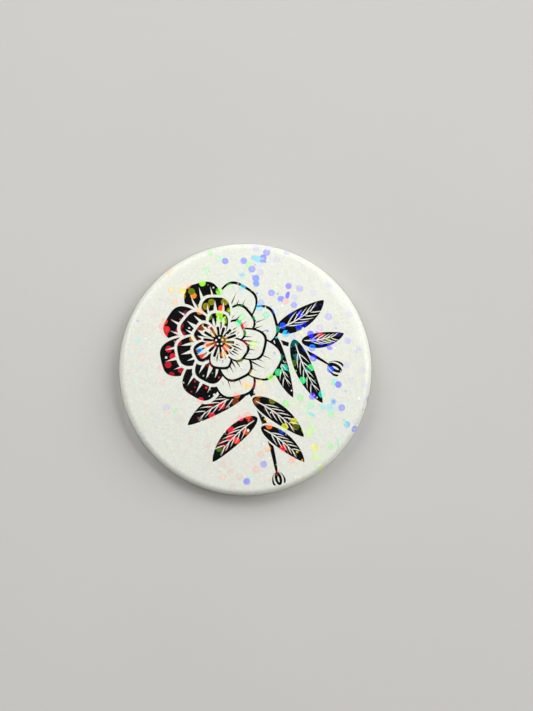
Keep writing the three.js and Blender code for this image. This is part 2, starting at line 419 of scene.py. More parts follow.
def flower(centre, tilt):
    """Three rings of petals round a heart of stamens, black on one side and bare on the other."""
    shapes = []
    for count, inner, outer, width, turn in PETAL_RINGS:
        for i in range(count):
            angle = tilt + turn + 2 * math.pi * i / count
            petal = dark_petal if math.cos(angle - DARK_SIDE) > DARK_REACH else light_petal
            reach = outer * (1 + 0.05 * math.cos(3 * angle + 1))
            shapes += petal(centre + polar(angle, inner), centre + polar(angle, reach), width, 0.05)
    for i in range(STAMENS):
        angle = tilt + 2 * math.pi * i / STAMENS
        reach = 2.35 + 0.25 * math.cos(5 * i)
        shapes.append((BARE, blade(centre, centre + polar(angle, reach + 0.3), 0.75, 0, 0.75, 0.8)))
        shapes.append((INK, blade(centre, centre + polar(angle, reach), 0.42, 0, 0.85, 0.7)))
    shapes.append((INK, round_spot(centre, 0.95)))
    for i in range(STAMEN_SPOTS):
        spot = centre + polar(tilt + 2 * math.pi * i / STAMEN_SPOTS, 0.5)
        shapes.append((BARE, round_spot(spot, 0.15, 14)))
    return shapes


def leaf(base, tip, width, bend):
    """A black leaf in a bare rim, with a bare midrib and side veins."""
    base, tip = np.array(base, float), np.array(tip, float)
    span, out, side = axes(base, tip)
    length = np.linalg.norm(span)
    rim = blade(base - out * LEAF_RIM, tip + out * 2 * LEAF_RIM, width + 2 * LEAF_RIM, bend, **LEAF)
    shapes = [
        (BARE, rim),
        (INK, blade(base, tip, width, bend, **LEAF)),
        (BARE, blade(base + span * 0.06, base + span * 0.84, 0.2, bend * 0.93, 0.3, 1.2)),
    ]
    for share in VEINS:
        root = base + span * share + side * length * bend * 2 * share * (1 - share)
        reach = width * (0.95 - share * 0.5)
        for hand in (1, -1):
            end = root + out * reach * 0.95 + side * hand * reach * 0.42
            shapes.append((BARE, blade(root, end, 0.15, 0.08 * hand, 0.4, 1.6)))
    return shapes


def bud(base, angle, size):
    """A closed bud of three petals."""
    base = np.array(base, float)
    shapes = []
    for turn in (0.4, -0.4, 0):
        tip = base + polar(angle + turn, size)
        shapes.append((BARE, blade(base, tip + polar(angle, 0.25), size * 0.75, 0, 0.5, 0.95)))
        shapes.append((INK, blade(base, tip, size * 0.52, 0, 0.5, 1.0)))
    start, stop = base + polar(angle, size * 0.3), base + polar(angle, size * 0.8)
    shapes.append((BARE, blade(start, stop, size * 0.13)))
    return shapes


def motif():
    """Every shape of the print, in the order they are laid down."""
    lower_stem = blade((-1.0, -0.5), (4.6, -16.0), 0.75, 0.10, 0.3, 0.5)
    upper_stem = blade((1.0, 4.6), (12.4, 0.4), 0.62, 0.12, 0.3, 0.5)
    shapes = [(INK, lower_stem), (INK, upper_stem)]
    for base, tip, width, bend in LEAVES:
        shapes += leaf(base, tip, width, bend)
    shapes += bud((12.2, 0.6), -0.5, 2.3)
    shapes += bud((4.5, -15.4), -1.3, 2.0)
    return shapes + flower(np.array([-4.0, 3.9]), math.radians(20))


# -------- the holographic dots

DOT_SEED = 3
DOT_REACH = 23.6  # from the middle of the print, over the edge and round the curl
DOTS = 446
DOT_SIZE = (0.47, 0.54)
DOTS_APART = 0.62
CORE = (0.42, 0.68)  # the share of a dot's radius that its core takes
LEAN = 0.035  # how far a dot leans to a hexagon, as a share of its radius
CORE_SHIFT = 0.12  # and how far off the dot's middle the core lies
SPECKS = 640
SPECK_SIZE = (0.07, 0.2)
SPECKS_APART = 1.0
GLINT_SPECKS = 0.35  # the share of the specks that are painted white glints
GLINT_WHITE = (1.0, 1.0, 0.97)
# The share of marks whose painted reflection is bright, by their place, and how strong bright and dim
# ones are.
BRIGHT_SHARE = ((5, 8, 14), (0.42, 0.6, 0.36))
BRIGHT, DIM = (0.62, 1), (0.05, 0.3)
# Marks show their painted reflection within a reach of the rainbow's middle. A stray takes its
# colour from anywhere, and past that reach there are more strays.
SEEN_MIDDLE, SEEN_REACH = 1.5, 13.5
STRAYS, STRAYS_PAST = 0.08, 0.5
STRAY_PLACES = (-8, 13)
PLACE_SPREAD = 1.2
RAINBOW_ACROSS = polar(math.radians(34.5))
# A mark's painted reflection: its colour, and how much of the paper's white it covers, by its place
# towards the light.
RAINBOW = (
    (-13, (0.55, 0.02, 0.04), 0.25),
    (-6, (1.0, 0.025, 0.055), 0.36),
    (-3.4, (1.0, 0.1, 0.03), 0.45),
    (-1.8, (1.0, 0.36, 0.02), 0.55),
    (-0.3, (1.0, 0.85, 0.02), 0.75),
    (1.5, (0.55, 0.95, 0.03), 0.75),
    (4, (0.1, 0.9, 0.08), 0.6),
    (6, (0.02, 0.85, 0.4), 0.6),
    (7.2, (0.01, 0.7, 0.9), 0.65),
    (8.6, (0.01, 0.12, 1.0), 0.75),
    (10.5, (0.01, 0.01, 1.0), 0.8),
    (13, (0.11, 0.05, 1.0), 0.85),
    (24, (0.3, 0.2, 1.0), 0.5),
)
# The film's few larger flakes: x, y, direction, length and width, and the place in the rainbow
# that each takes its painted reflected colour from.
FLAKES = (
    (1.6, 16.3, -0.4, 1.9, 0.95, 7.4),
    (2.5, 16.0, -0.2, 1.0, 0.4, 8.6),
    (9.6, -6.9, -0.5, 1.3, 0.5, 7.0),
    (14.6, -8.2, -1.3, 1.5, 0.3, 6.8),
    (13.6, -11.2, -1.4, 1.6, 0.28, 6.0),
    (-10.4, -6.4, 0.9, 0.9, 0.35, 4.6),
    (6.2, 10.9, 1.3, 1.1, 0.6, 12.6),
)
PAPER_WHITE = (0.805, 0.815, 0.742)


def rainbow(place):
    """The colour and the cover at a place in the rainbow."""
    stops, colours, covers = zip(*RAINBOW)
    colour = [np.interp(place, stops, column) for column in zip(*colours)]
    return np.array(colour), np.interp(place, stops, covers)


def scattered(random, count, sizes, apart):
    """Random spots of the flat film and their radii, none nearer than a share of their radii."""
    spots = []
    while len(spots) < count:
        place = random.uniform(-DOT_REACH, DOT_REACH, 2)
        size = random.uniform(*sizes)
        if np.hypot(*place) > DOT_REACH - size:
            continue
        if all(np.hypot(*(place - p)) > apart * (size + s) for p, s in spots):
            spots.append((place, size))
    return spots


def lit(random, place):
    """How brightly a mark's painted reflection shows, and its place in the rainbow."""
    across = place @ RAINBOW_ACROSS
    bright = random.uniform() < np.interp(across, *BRIGHT_SHARE)
    strength = random.uniform(*(BRIGHT if bright else DIM))
    seen = math.exp(-(((across - SEEN_MIDDLE) / SEEN_REACH) ** 6))
    stray = random.uniform() < STRAYS + STRAYS_PAST * (1 - seen)
    near = across + random.normal(0, PLACE_SPREAD)
    anywhere = random.uniform(*STRAY_PLACES)
    return strength * (0.2 + 0.8 * seen), anywhere if stray else near


def hexagonal(place, radius, steps=24):
    """A spot between a circle and a hexagon."""
    turns = full_turn(steps)
    return round_spot(place, radius * (1 + LEAN * np.cos(6 * turns))[:, None], steps)


def holographic_marks():
    """The outline, painted reflection (strength and colour) and cover of every mark of the film, in
    the order laid.
    """
    random = np.random.default_rng(DOT_SEED)
    marks = []
    for place, size in scattered(random, DOTS, DOT_SIZE, DOTS_APART):
        strength, across = lit(random, place)
        marks.append((hexagonal(place, size), strength, *rainbow(across)))
        shift = polar(random.uniform(0, 2 * math.pi), size * CORE_SHIFT)
        core = hexagonal(place + shift, size * random.uniform(*CORE), 16)
        across += random.normal(0, 1)
        marks.append((core, strength * random.uniform(0.72, 1.1), *rainbow(across)))
    for place, size in scattered(random, SPECKS, SPECK_SIZE, SPECKS_APART):
        strength, across = lit(random, place)
        colour, cover = rainbow(across)
        # some specks are painted glints, in white
        if random.uniform() < GLINT_SPECKS:
            colour, cover = np.array(GLINT_WHITE), 0.8
        marks.append((round_spot(place, size, 12), strength * 0.85, colour, cover))
    for x, y, direction, length, width, across in FLAKES:
        reach = polar(direction, length / 2)
        outline = blade((x, y) - reach, (x, y) + reach, width, 0.1, 0.45, 0.7)
        marks.append((outline, 0.9, *rainbow(across)))
    return marks


# -------- the flat print, cut up

PRINT_FLAT = 17  # the radius within which the print's corners lie on a square grid
PRINT_GRID = 0.5
PRINT_RING = 0.14  # the distance between the rings of corners outside that
PRINT_SIDES = 260


def inside(points, outline):
    """Which points lie inside an outline."""
    found = np.zeros(len(points), bool)
    low, high = outline.min(0), outline.max(0)
    near = np.flatnonzero(((points > low) & (points < high)).all(1))
    x, y = points[near, :1], points[near, 1:]
    a, b = outline, np.roll(outline, -1, axis=0)
    crosses = (a[:, 1] > y) != (b[:, 1] > y)
    with np.errstate(divide="ignore", invalid="ignore"):
        where = a[:, 0] + (y - a[:, 1]) * (b[:, 0] - a[:, 0]) / (b[:, 1] - a[:, 1])
    found[near] = (crosses & (x < where)).sum(1) % 2 == 1
    return found


def cut_up(outlines, extra):
    """Triangles of the plane that follow every outline. extra points are used as corners too."""
    points = np.concatenate([*outlines, extra])
    edges, start = [], 0
    for outline in outlines:
        index = np.arange(len(outline))
        edges.append(np.stack([index, np.roll(index, -1)], 1) + start)
        start += len(outline)
    made = delaunay_2d_cdt(points.tolist(), np.concatenate(edges).tolist(), [], 0, 1e-5)
    return np.array([tuple(p) for p in made[0]]), np.array(made[2])


def grid_points(reach, step):
    """The points of a square grid that lie within a reach of the middle."""
    spread = np.arange(-reach, reach + 0.1, step)
    grid = np.stack(np.meshgrid(spread, spread), -1).reshape(-1, 2)
    return grid[np.hypot(grid[:, 0], grid[:, 1]) < reach]


def print_points():
    """Corners for the print's triangles, closer together where the film turns over the edge."""
    points = [grid_points(PRINT_FLAT, PRINT_GRID)]
    for radius in np.arange(PRINT_FLAT + 0.2, DOT_REACH + 0.2, PRINT_RING):
        sides = PRINT_SIDES if radius < FRONT_ALONG[CURL_INDEX] else TURN_STEPS
        points.append(round_spot((0, 0), radius, sides))
    return np.concatenate(points)


def print_mesh():
    """The flat print's points and triangles, which triangles are ink, and each one's mark or -1."""
    shapes = motif()
    marks = holographic_marks()
    outlines = [shape[1] for shape in shapes] + [mark[0] for mark in marks]
    flat, triangles = cut_up(outlines, print_points())
    centres = flat[triangles].mean(1)
    ink = np.zeros(len(triangles), bool)
    for is_ink, outline in shapes:
        ink[inside(centres, outline)] = is_ink
    mark = np.full(len(triangles), -1)
    for i in range(len(marks)):
        mark[inside(centres, marks[i][0])] = i
    return flat, triangles, ink, mark, marks


def mark_colours(ink, mark, marks):
    """What each triangle of a mark looks like: its painted reflected colour over ink, a tint of it
    over paper.
    """
    strength = np.array([m[1] for m in marks])[mark, None]
    colour = np.array([m[2] for m in marks])[mark]
    cover = np.array([m[3] for m in marks])[mark, None] * strength
    hidden = np.minimum(cover * (0.6 + 0.45 * cover), 1)
    over_paper = np.minimum(np.array(PAPER_WHITE) * (1 - hidden) + colour * cover, 1)
    return np.where(ink[:, None], colour * strength**0.7, over_paper)


# -------- the back plate
# One sheet of tinplate: a flat blank is cut, then pressed. Distances on the blank are measured
# along the sheet.

GROOVE_INNER, GROOVE_OUTER = 13.4, 14.5
GROOVE_DEPTH, GROOVE_FLANK = 0.2, 0.35
FLOOR_RADIUS = 15.3
BEAD_INNER, BEAD_OUTER = 15.75, 16.9
BEAD_Z = TINPLATE / 2
FLANGE_Z = 1.65
PRESSED = 0.3  # the radius of the plate's pressed corners
BEAD_ROUND = 0.35
PLATE_SECTION = rounded((
    (0, FLOOR_Z),
    (GROOVE_INNER, FLOOR_Z, PRESSED),
    (GROOVE_INNER + GROOVE_FLANK, FLOOR_Z + GROOVE_DEPTH, PRESSED),
    (GROOVE_OUTER - GROOVE_FLANK, FLOOR_Z + GROOVE_DEPTH, PRESSED),
    (GROOVE_OUTER, FLOOR_Z, PRESSED),
    (FLOOR_RADIUS, FLOOR_Z, PRESSED),
    (BEAD_INNER, BEAD_Z, BEAD_ROUND),
    (BEAD_OUTER, BEAD_Z, BEAD_ROUND),
    (BEAD_OUTER, FLANGE_Z, 0.25),
    (FLANGE_RADIUS, FLANGE_Z),
))
PLATE_ALONG = along(PLATE_SECTION)
PLATE_FLAT = 13  # the radius within which the blank's corners lie on a square grid
PLATE_GRID = 0.65
PLATE_RING = 0.4  # the most between the rings of corners outside that
PLATE_SIDES = 300
SLIT = 0.07  # the width of the cuts beside the bridges and round the catch
BRIDGES = (-6.6, 0.6)  # the x of each bridge over the leg
BRIDGE_HALF = 0.9
BRIDGE_FOOT = 1.7  # how far from the leg a bridge begins
BRIDGE_FLAT = 0.6  # and within what distance of the leg it is level
BRIDGE_DROP = 1.15
FINE = 0.05  # the distance between corners where the sheet is bent tightly
TROUGH_X, TROUGH_REACH, TROUGH_DEPTH = -0.6, 4.4, 0.6
TROUGH_OUT, TROUGH_IN = 1.85, 1.4  # where its wall begins and ends, from its middle
CATCH_X = 9.0
CATCH_HALF = 1.1
CATCH_RISER = ARM_Y - 0.72
CATCH_Z = 0.3
CATCH_PATH = rounded((
    (CATCH_RISER - 0.6, FLOOR_Z),
    (CATCH_RISER, FLOOR_Z, 0.35),
    (CATCH_RISER, CATCH_Z, 0.32),
    (ARM_Y - 0.17, CATCH_Z),
), FINE)
CATCH_ALONG = along(CATCH_PATH)
CATCH_START = CATCH_PATH[0, 0]
CATCH_REACH = CATCH_ALONG[-1]
CATCH_SLOT_END = CATCH_RISER + 2.6


def dense(outline, spacing=0.12):
    """The same closed outline, with more points along its sides."""
    outline = np.array(outline, float)
    points = []
    for a, b in zip(outline, np.roll(outline, -1, axis=0)):
        steps = max(1, math.ceil(np.linalg.norm(b - a) / spacing))
        points += [a + (b - a) * i / steps for i in range(steps)]
    return np.array(points)


def press(flat):
    """Where the blank's points are once the plate is pressed, on the middle of the sheet."""
    distance = np.hypot(flat[:, 0], flat[:, 1])
    turn = np.arctan2(flat[:, 1], flat[:, 0])
    radius = np.interp(distance, PLATE_ALONG, PLATE_SECTION[:, 0])
    x, y = radius * np.cos(turn), radius * np.sin(turn)
    z = np.interp(distance, PLATE_ALONG, PLATE_SECTION[:, 1])
    from_trough = np.hypot(np.maximum(np.abs(x - TROUGH_X) - TROUGH_REACH, 0), y - ARM_Y)
    wall = (TROUGH_OUT - from_trough) / (TROUGH_OUT - TROUGH_IN)
    z += TROUGH_DEPTH * smooth(wall)
    for middle in BRIDGES:
        across, up = np.abs(x - middle), np.abs(y - LEG_Y)
        on = (across < BRIDGE_HALF + SLIT / 2) & (up < BRIDGE_FOOT)
        z -= np.where(on, BRIDGE_DROP * smooth((BRIDGE_FOOT - up) / (BRIDGE_FOOT - BRIDGE_FLAT)), 0)
    on = (np.abs(x - CATCH_X) < CATCH_HALF + SLIT / 2) & (y > CATCH_START)
    on &= y < CATCH_START + CATCH_REACH + SLIT / 2
    reach = np.minimum(y - CATCH_START, CATCH_REACH)
    z = np.where(on, np.interp(reach, CATCH_ALONG, CATCH_PATH[:, 1]), z)
    y = np.where(on, np.interp(reach, CATCH_ALONG, CATCH_PATH[:, 0]), y)
    return np.stack([x, y, z], 1)


def rounded_box(x0, x1, y0, y1, radius):
    """An outline with its two corners at y1 rounded, from (x1, y0) round to (x0, y0)."""
    right = arc((x1 - radius, y1 - radius), radius, 0, math.pi / 2, 5)[0]
    left = arc((x0 + radius, y1 - radius), radius, math.pi / 2, math.pi, 5)[0]
    return np.concatenate([[[x1, y0]], right, left, [[x0, y0]]])


def plate_cuts():
    """The outlines cut through the blank: a slit along each side of each bridge, and a slot round
    the tab that is bent down into the catch."""
    cuts = []
    for middle in BRIDGES:
        for x in (middle - BRIDGE_HALF - SLIT, middle + BRIDGE_HALF):
            low, high = LEG_Y - BRIDGE_FOOT, LEG_Y + BRIDGE_FOOT
            cuts.append([(x, low), (x + SLIT, low), (x + SLIT, high), (x, high)])
    left, right = CATCH_X - CATCH_HALF, CATCH_X + CATCH_HALF
    slot = rounded_box(left - SLIT, right + SLIT, CATCH_START, CATCH_SLOT_END, 0.35)
    tab = rounded_box(left, right, CATCH_START, CATCH_START + CATCH_REACH, 0.45)
    cuts.append(np.concatenate([slot, tab[::-1]]))
    return [dense(cut) for cut in cuts]


def plate_points():
    """Corners for the blank's triangles, closer together where it is pressed."""
    points = [grid_points(PLATE_FLAT, PLATE_GRID)]
    section = PLATE_ALONG[1:-1]
    for a, b in zip(section[:-1], section[1:]):
        steps = max(1, math.ceil((b - a) / PLATE_RING)) if a > PLATE_FLAT else 1
        points += [round_spot((0, 0), a + (b - a) * i / steps, PLATE_SIDES) for i in range(steps)]
    for out in np.arange(TROUGH_IN - 0.1, TROUGH_OUT + 0.1, FINE):
        points.append(stadium(TROUGH_X, TROUGH_REACH, out))
    up = np.arange(-BRIDGE_FOOT, BRIDGE_FOOT + 0.01, 0.1)
    for middle in BRIDGES:
        across = np.linspace(-BRIDGE_HALF, BRIDGE_HALF, 7)
        points.append(np.stack(np.meshgrid(middle + across, LEG_Y + up), -1).reshape(-1, 2))
    across = np.linspace(-CATCH_HALF, CATCH_HALF, 9)
    reach = np.arange(FINE, CATCH_REACH - FINE, FINE) + CATCH_START
    points.append(np.stack(np.meshgrid(CATCH_X + across, reach), -1).reshape(-1, 2))
    return np.concatenate(points)


def stadium(x, reach, radius):
    """Points round a long shape with round ends, centred on the arm."""
    right = arc((x + reach, ARM_Y), radius, -math.pi / 2, math.pi / 2, 26)[0]
    left = arc((x - reach, ARM_Y), radius, math.pi / 2, 1.5 * math.pi, 26)[0]
    return dense(np.concatenate([right, left]), 0.3)


def back_plate(material):
    """The plate: its blank cut out, pressed and given the thickness of the sheet."""
    cuts = plate_cuts()
    edge = round_spot((0, 0), PLATE_ALONG[-1], PLATE_SIDES)
    flat, triangles = cut_up([*cuts, edge], plate_points())
    centres = flat[triangles].mean(1)
    keep = inside(centres, edge)
    for cut in cuts:
        keep &= ~inside(centres, cut)
    used, triangles = np.unique(triangles[keep], return_inverse=True)
    faces = triangles.reshape(-1, 3).tolist()
    plate = make_piece("back_plate_pressed", press(flat[used]), faces, material)
    thick = plate.modifiers.new("sheet", "SOLIDIFY")
    thick.thickness = TINPLATE * MM
    thick.offset = 0
    thick.use_even_offset = True
    settle(plate)
    smooth_edges(plate.data, math.radians(38))
    return plate


def settle(piece):
    """Applies a piece's modifiers to its mesh."""
    graph = bpy.context.evaluated_depsgraph_get()
    made = bpy.data.meshes.new_from_object(piece.evaluated_get(graph))
    piece.modifiers.clear()
    piece.data = made


# -------- the pin

PIN_SIDES = 28
LEG_END = 3.2
SHANK_END = 10.2
POINT_END = 12.8
POINT_RADIUS = 0.05
POINT_CURVE = 0.9  # how full the ground point is: 1 follows a sine, less is fuller
POINT_ROUND = 0.8  # how far the tip stands out, as a share of the point's radius
CHAMFER = 0.72  # the radius of the leg's cut end, as a share of the wire's


def pin_line():
    """The middle of the wire, from the end of its leg, round the bend, to its point."""
    leg = np.linspace(LEG_END, BEND_X, 50, endpoint=False)
    bend = np.linspace(1.5 * math.pi, 0.5 * math.pi, 48, endpoint=False)
    shank = np.linspace(BEND_X, SHANK_END, 70, endpoint=False)
    point = np.linspace(SHANK_END, POINT_END, 28)
    around = np.stack([
        BEND_X + BEND_RADIUS * np.cos(bend),
        BEND_Y + BEND_RADIUS * np.sin(bend),
        LEG_Z + (ARM_Z - LEG_Z) * (1 + np.sin(bend)) / 2,
    ], 1)
    arm = np.concatenate([shank, point])
    return np.concatenate([
        np.stack(np.broadcast_arrays(leg, LEG_Y, LEG_Z), 1),
        around,
        np.stack(np.broadcast_arrays(arm, ARM_Y, ARM_Z), 1),
    ])


def pin_wire(material):
    """The whole pin: the wire swept along its line, with a chamfered end and a ground point."""
    line = pin_line()
    distance = along(line)
    taper = np.clip((distance[-1] - distance) / (POINT_END - SHANK_END), 0, 1)
    radius = POINT_RADIUS + (WIRE_RADIUS - POINT_RADIUS) * np.sin(taper * math.pi / 2) ** POINT_CURVE
    radius[0] = WIRE_RADIUS * CHAMFER
    line[1] = (line[0] + line[1]) / 2
    tangent = np.gradient(line, axis=0)
    tangent /= np.linalg.norm(tangent, axis=1)[:, None]
    sideways = np.cross(tangent, (0, 0, 1))
    sideways /= np.linalg.norm(sideways, axis=1)[:, None]
    upright = np.cross(sideways, tangent)
    turns = full_turn(PIN_SIDES)[:, None]
    rings = np.array([
        p + r * (np.cos(turns) * s + np.sin(turns) * u)
        for p, r, s, u in zip(line, radius, sideways, upright)
    ])
    tip = line[-1] + tangent[-1] * POINT_RADIUS * POINT_ROUND
    points, faces = closed_skin(rings, line[0], tip)
    return make_piece("pin_wire", points, faces, material)


# -------- materials

# A ramp's stops are (value, grey or colour).
FIBRES = ((0.34, 0.895), (0.66, 1.06))
HAZE = (
    (0.36, (1.0, 0.975, 0.965)),
    (0.46, (1.0, 1.0, 0.97)),
    (0.54, (0.98, 1.0, 0.98)),
    (0.64, (0.97, 0.98, 1.0)),
)
# Painted shade: how much the colour darkens in the gathers of the curl.
FOLD_PAINTED_SHADE = ((0.05, 1.0), (0.6, 0.87))
INK_BLACK = (0.002, 0.002, 0.002)
INK_SHADES = ((0.35, (0.0005, 0.0005, 0.0007)), (0.75, (0.004, 0.0036, 0.0042)))
TIN = (0.74, 0.745, 0.75)
TIN_SHADES = ((0.3, (0.66, 0.665, 0.67)), (0.7, (0.80, 0.805, 0.81)))
TIN_ROUGHNESS = ((0.3, 0.2), (0.75, 0.38))
STEEL = (0.5, 0.5, 0.51)
STEEL_SHADES = ((0.3, (0.42, 0.42, 0.43)), (0.7, (0.58, 0.58, 0.585)))
STEEL_ROUGHNESS = ((0.3, 0.12), (0.75, 0.32))
CLEAR = (0.05, 0.05, 0.05)
HOLOGRAPHIC = (0.06, 0.07, 0.09)
FILM_ALPHA = 0.012
FILM_GLOSS = {"coat_weight": 0.6, "coat_roughness": 0.03}

STREAK_LENGTH, STREAK_WIDTH = 1.5, 0.3
STREAKS_FROM, STREAKS_TO = RADIUS - 2.4, RADIUS - 0.6  # the radii where they begin and are full
GATHERS = 45.0  # features of the gathers' noise in each radian round the badge
GATHERS_FROM, GATHERS_TO = 1.1, 0.5  # the heights where they begin and are full
GATHER_NOISE = (0.56, 0.68)  # the noise at which a gather begins and is full


def new_material(name, colour, roughness, **others):
    """A material of one colour. Other inputs of its shader are set by their names."""
    made = bpy.data.materials.new(name)
    made.use_nodes = True
    shader = shader_of(made)
    shader.inputs["Base Color"].default_value = (*colour, 1)
    shader.inputs["Roughness"].default_value = roughness
    for socket, value in others.items():
        shader.inputs[socket.replace("_", " ").title()].default_value = value
    return made


def shader_of(made):
    """A material's shader node."""
    return made.node_tree.nodes["Principled BSDF"]


def add_node(made, kind, inputs=None, **settings):
    """A node with its settings and its inputs, each a value or another node's output."""
    node = made.node_tree.nodes.new(kind)
    for name, value in settings.items():
        setattr(node, name, value)
    for name, value in (inputs or {}).items():
        if isinstance(value, bpy.types.NodeSocket):
            made.node_tree.links.new(value, node.inputs[name])
        else:
            node.inputs[name].default_value = value
    return node


def shade(made, name, source):
    """Leads a node's output into the shader's input of a name."""
    made.node_tree.links.new(source, shader_of(made).inputs[name])


def object_place(made):
    """Where each point of the surface lies, in metres."""
    return add_node(made, "ShaderNodeTexCoord").outputs["Object"]


def noise_at(made, place, scale, detail, roughness=0.5):
    """Noise of a scale at a place."""
    inputs = {"Vector": place, "Scale": scale, "Detail": detail, "Roughness": roughness}
    return add_node(made, "ShaderNodeTexNoise", inputs).outputs["Fac"]


def noise(made, size, stretch=(1, 1, 1), detail=3.0, roughness=0.5):
    """Noise with features of a size in millimetres, stretched along the axes."""
    inputs = {"Vector": object_place(made), "Scale": [1 / s for s in stretch]}
    place = add_node(made, "ShaderNodeMapping", inputs).outputs["Vector"]
    return noise_at(made, place, 1 / (size * MM), detail, roughness)


def ramp(made, source, stops):
    """A colour or grey for each value of a source. Each stop is (value, grey or colour)."""
    node = add_node(made, "ShaderNodeValToRGB", {"Fac": source})
    while len(node.color_ramp.elements) < len(stops):
        node.color_ramp.elements.new(0.5)
    for element, (value, colour) in zip(node.color_ramp.elements, stops):
        element.position = value
        element.color = (*(colour if isinstance(colour, tuple) else (colour,) * 3), 1)
    return node.outputs["Color"]


def multiplied(made, one, other):
    """One colour multiplied by another."""
    inputs = {"Factor": 1, "A": one, "B": other}
    mixed = add_node(made, "ShaderNodeMix", inputs, data_type="RGBA", blend_type="MULTIPLY")
    return mixed.outputs["Result"]


def product(made, one, other):
    """One number multiplied by another."""
    return add_node(made, "ShaderNodeMath", {0: one, 1: other}, operation="MULTIPLY").outputs["Value"]


def share_between(made, source, start, stop):
    """How far a source is from start to stop, from 0 to 1."""
    inputs = {"Value": source, "From Min": start, "From Max": stop}
    return add_node(made, "ShaderNodeMapRange", inputs).outputs["Result"]


def bumps(made, *heights):
    """Adds bumps to a material, each a source and a height in millimetres."""
    before = {}
    for source, height in heights:
        node = add_node(made, "ShaderNodeBump", {"Distance": height * MM, "Height": source, **before})
        before = {"Normal": node.outputs["Normal"]}
    shade(made, "Normal", before["Normal"])


def round_the_badge(made):
    """Nodes for the distance from the badge's axis and the direction away from it."""
    inputs = {0: object_place(made), 1: (1, 1, 0)}
    place = add_node(made, "ShaderNodeVectorMath", inputs, operation="MULTIPLY").outputs["Vector"]
    radius = add_node(made, "ShaderNodeVectorMath", {0: place}, operation="LENGTH")
    direction = add_node(made, "ShaderNodeVectorMath", {0: place}, operation="NORMALIZE")
    return radius.outputs["Value"], direction.outputs["Vector"]


def gathers(made):
    """Fine folds across the curl, where the sheet's edge is gathered as it is drawn in."""
    folds = noise_at(made, round_the_badge(made)[1], GATHERS, 3)
    height = add_node(made, "ShaderNodeSeparateXYZ", {0: object_place(made)}).outputs["Z"]
    return product(
        made,
        share_between(made, folds, *GATHER_NOISE),
        share_between(made, height, GATHERS_FROM * MM, GATHERS_TO * MM),
    )


def streaks(made):
    """Noise drawn out round the badge, in its edge only."""
    radius, direction = round_the_badge(made)
    across = add_node(made, "ShaderNodeCombineXYZ", {"Z": radius}).outputs["Vector"]
    inputs = {0: direction, 1: (STREAK_LENGTH * MM,) * 3, 2: across}
    place = add_node(made, "ShaderNodeVectorMath", inputs, operation="MULTIPLY_ADD").outputs["Vector"]
    at_edge = share_between(made, radius, STREAKS_FROM * MM, STREAKS_TO * MM)
    return product(made, noise_at(made, place, 1 / (STREAK_WIDTH * MM), 2), at_edge)


def mottle_and_fold_shade(made):
    """The white's faint mottling: paper fibres and a haze of the film's finest colours, with painted
    shade that darkens the gathers."""
    fibres = ramp(made, noise(made, 0.32, detail=5, roughness=0.7), FIBRES)
    haze = ramp(made, noise(made, 0.8, detail=3), HAZE)
    # painted shade in the folds of the gathers
    folds = ramp(made, gathers(made), FOLD_PAINTED_SHADE)
    return multiplied(made, multiplied(made, fibres, haze), folds)


def laminated(name, colour):
    """A matt finish under the films' gloss, with slow swells, faint pits, streaks where the films
    are drawn over the edge, and folds round the curl."""
    made = new_material(name, colour, 0.6, **FILM_GLOSS)
    shader_of(made).inputs["Specular IOR Level"].default_value = 0
    bumps(
        made,
        (noise(made, 3.0), 0.006),
        (noise(made, 0.3, detail=4), 0.0012),
        (streaks(made), 0.004),
        (gathers(made), 0.04),
    )
    return made


def paper_material():
    """Coated white paper."""
    made = laminated("coated_paper", PAPER_WHITE)
    white = add_node(made, "ShaderNodeRGB").outputs["Color"]
    white.default_value = (*PAPER_WHITE, 1)
    # the paper's white, mottled, with painted shade darkening the gathers
    shade(made, "Base Color", multiplied(made, white, mottle_and_fold_shade(made)))
    return made


def ink_material():
    """Black printing ink, a little uneven."""
    made = laminated("black_ink", INK_BLACK)
    shade(made, "Base Color", ramp(made, noise(made, 0.25, detail=4), INK_SHADES))
    return made


def dot_material():
    """Each mark's painted reflected colour, mottled and given painted fold shade as the paper under
    it is.
    """
    made = laminated("holographic_dots", (0.8, 0.8, 0.8))
    tint = add_node(made, "ShaderNodeAttribute", attribute_name="tint").outputs["Color"]
    shade(made, "Base Color", multiplied(made, tint, mottle_and_fold_shade(made)))
    return made


def film_material(name, colour, roughness):
    """A film so clear that its gloss is given to what lies under it."""
    made = new_material(name, colour, roughness, alpha=FILM_ALPHA)
    r, g, b = colour
    shades = ((0.35, (r * 0.8, g * 0.8, b * 0.85)), (0.65, colour))
    shade(made, "Base Color", ramp(made, noise(made, 1.5, detail=4), shades))
    return made


def tinplate_material():
    """Rolled tinplate: fine rolling lines along X, stains and scuffs."""
    made = new_material("tinplate", TIN, 0.28, metallic=1.0)
    lines = noise(made, 0.08, stretch=(60, 1, 1), detail=4, roughness=0.6)
    stains = noise(made, 4.0, detail=5, roughness=0.6)
    shade(made, "Base Color", ramp(made, stains, TIN_SHADES))
    shade(made, "Roughness", ramp(made, lines, TIN_ROUGHNESS))
    bumps(made, (lines, 0.0025), (noise(made, 1.2), 0.004))
    return made


def wire_material():
    """Drawn wire with lines along X and a plated sheen."""
    made = new_material("spring_wire", STEEL, 0.18, metallic=1.0)
    lines = noise(made, 0.06, stretch=(40, 1, 1), detail=3)
    shade(made, "Base Color", ramp(made, noise(made, 1.5, detail=4), STEEL_SHADES))
    shade(made, "Roughness", ramp(made, lines, STEEL_ROUGHNESS))
    bumps(made, (lines, 0.003))
    return made


# -------- the badge

paper = paper_material()
tinplate = tinplate_material()
clear = film_material("clear_film", CLEAR, 0.04)
holographic = film_material("holographic_film", HOLOGRAPHIC, 0.15)

clear_film = layer("clear_film_drawn", CLEAR_FILM, clear)
holographic_film = layer("holographic_film_drawn", HOLOGRAPHIC_FILM, holographic)
for film in (clear_film, holographic_film):
    film.visible_shadow = False  # too clear to cast one
printed_paper = layer("printed_paper_drawn", PAPER, paper)
front_shell = layer("front_shell_pressed", SHELL, tinplate, gathered=False)

